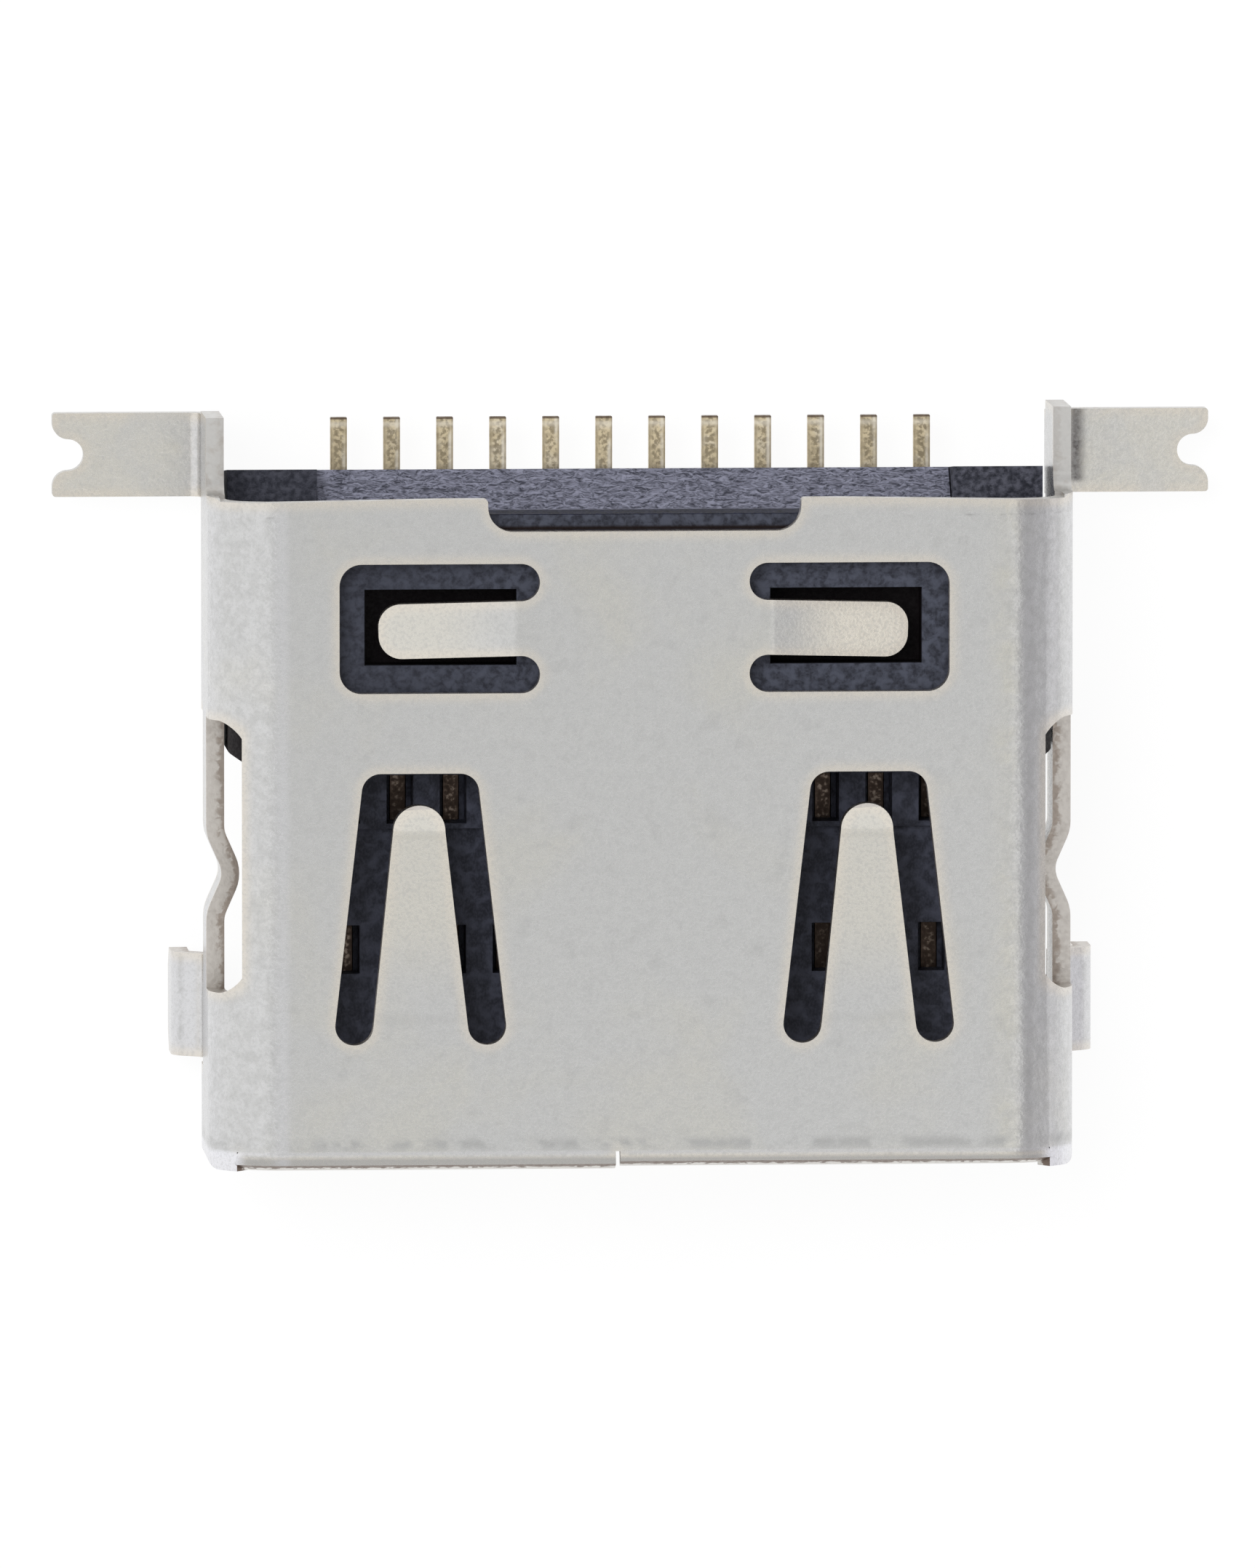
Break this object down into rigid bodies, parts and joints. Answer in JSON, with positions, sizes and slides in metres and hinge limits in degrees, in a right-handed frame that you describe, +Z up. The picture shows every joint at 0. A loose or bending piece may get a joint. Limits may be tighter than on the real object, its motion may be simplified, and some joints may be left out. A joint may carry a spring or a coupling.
{
  "type": "micro usb socket",
  "caption": "Board socket: folded plated-sheet shell with grip springs, lock tabs, forked solder feet and front legs, round a black moulded tongue with a row of gold contacts.",
  "frame": {"origin": "on the board plane, midway across and midway along the folded shell, under its floor", "axes": "+X across the mouth, +Y from the mouth to the solder tails, +Z up from the board"},
  "size_m": [0.0174, 0.0113, 0.0041],
  "materials": {
    "plated_sheet": "satin plated sheet",
    "black_moulding": "smooth moulded",
    "slate_moulding": "rough spark-eroded",
    "gold_contact": "gold flash over copper alloy"
  },
  "bodies": {
    "root": {"shell": "plated_sheet", "housing": "black_moulding", "contact_carrier": "slate_moulding", "contact_01": "gold_contact", "contact_02": "gold_contact", "contact_03": "gold_contact", "contact_04": "gold_contact", "contact_05": "gold_contact", "contact_06": "gold_contact", "contact_07": "gold_contact", "contact_08": "gold_contact", "contact_09": "gold_contact", "contact_10": "gold_contact", "contact_11": "gold_contact", "contact_12": "gold_contact"}
  },
  "joints": []
}
